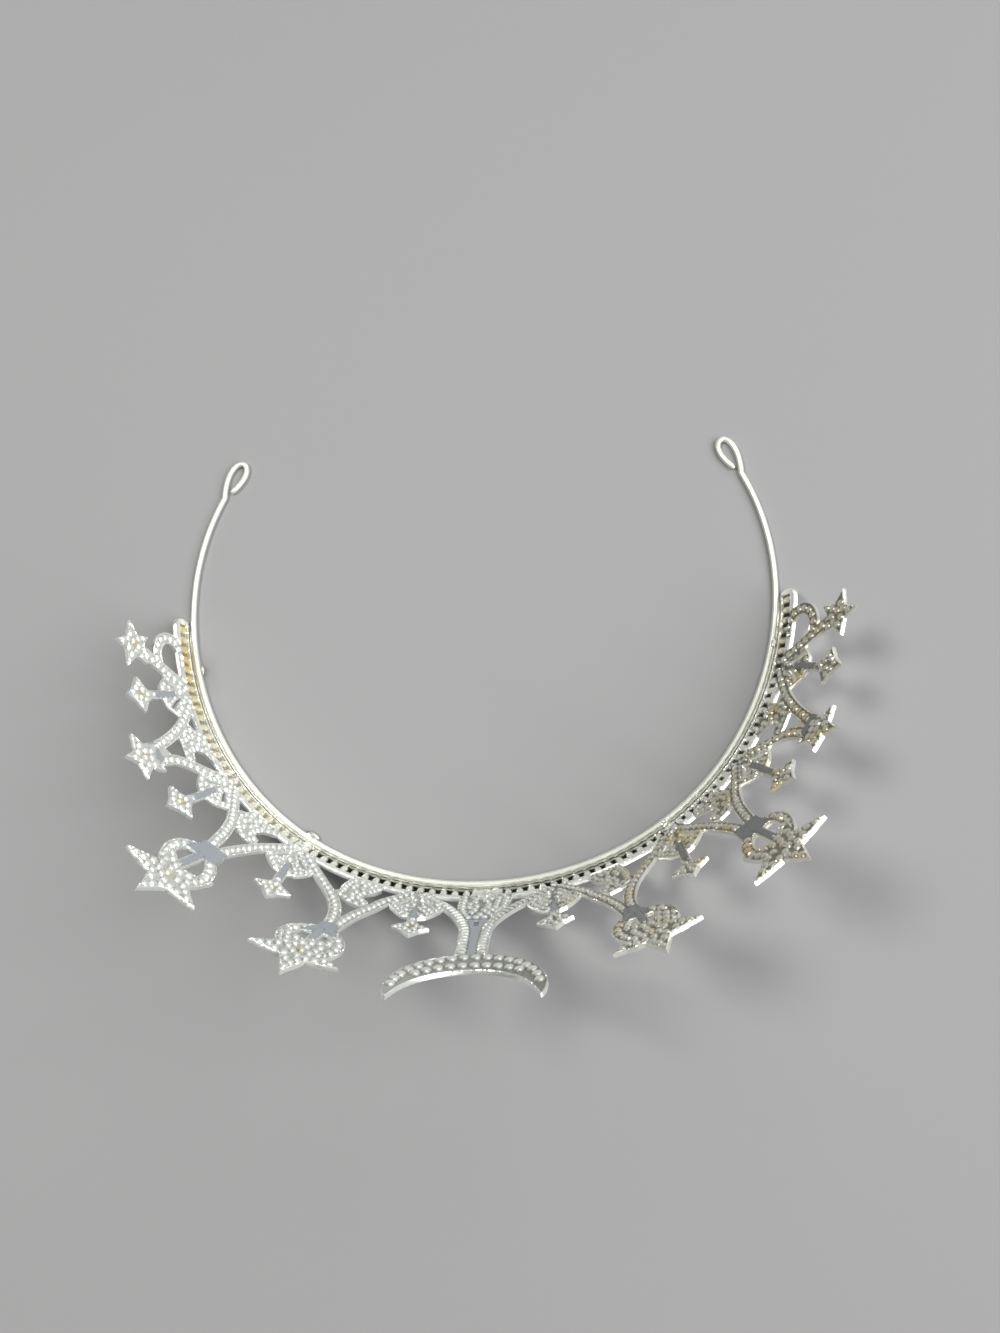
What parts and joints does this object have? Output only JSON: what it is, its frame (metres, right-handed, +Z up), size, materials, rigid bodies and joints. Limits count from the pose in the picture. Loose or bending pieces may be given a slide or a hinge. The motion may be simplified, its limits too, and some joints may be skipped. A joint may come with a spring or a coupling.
{
  "type": "tiara",
  "caption": "Openwork silver tiara with a crescent, stars and lozenge pendants on a beaded band, soldered to a round wire headband with a loop at each end.",
  "frame": {"origin": "under the middle of the whole tiara's bounding box, at the level of the surface it stands on", "axes": "-Y to the front, where the crescent is; +X to the right side of the picture, which is the wearer's left; +Z up"},
  "size_m": [0.1684, 0.133, 0.0545],
  "materials": {
    "cast_silver": "silver-plated casting, polished, greyed in the hollows",
    "wire_silver": "drawn wire, bright silver plate"
  },
  "bodies": {
    "root": {"crest_casting": "cast_silver", "headband_wire": "wire_silver"}
  },
  "joints": []
}
